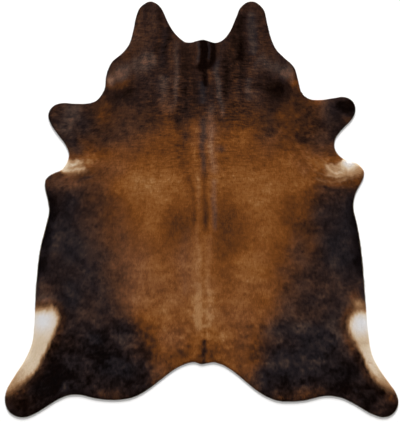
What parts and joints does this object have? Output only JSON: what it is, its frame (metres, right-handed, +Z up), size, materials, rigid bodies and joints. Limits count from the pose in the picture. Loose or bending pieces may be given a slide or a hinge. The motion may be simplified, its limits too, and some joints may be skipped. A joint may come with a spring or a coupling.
{
  "type": "cowhide rug",
  "caption": "Whole cowhide rug lying flat, hair side up: two ears at the neck, short forelegs, long hind legs and a notch at the tail.",
  "frame": {"origin": "under the middle of the outline's box, on the floor", "axes": "+Z up from the floor, +Y along the spine towards the neck, +X to the right as seen from above"},
  "size_m": [2.035, 2.15, 0.007],
  "materials": {
    "hair": "short glossy hair, chestnut brown along the back and near black on the flanks, with cream at the leg pits",
    "suede": "pale matt tanned skin"
  },
  "bodies": {
    "root": {"hide": "hair"}
  },
  "joints": []
}
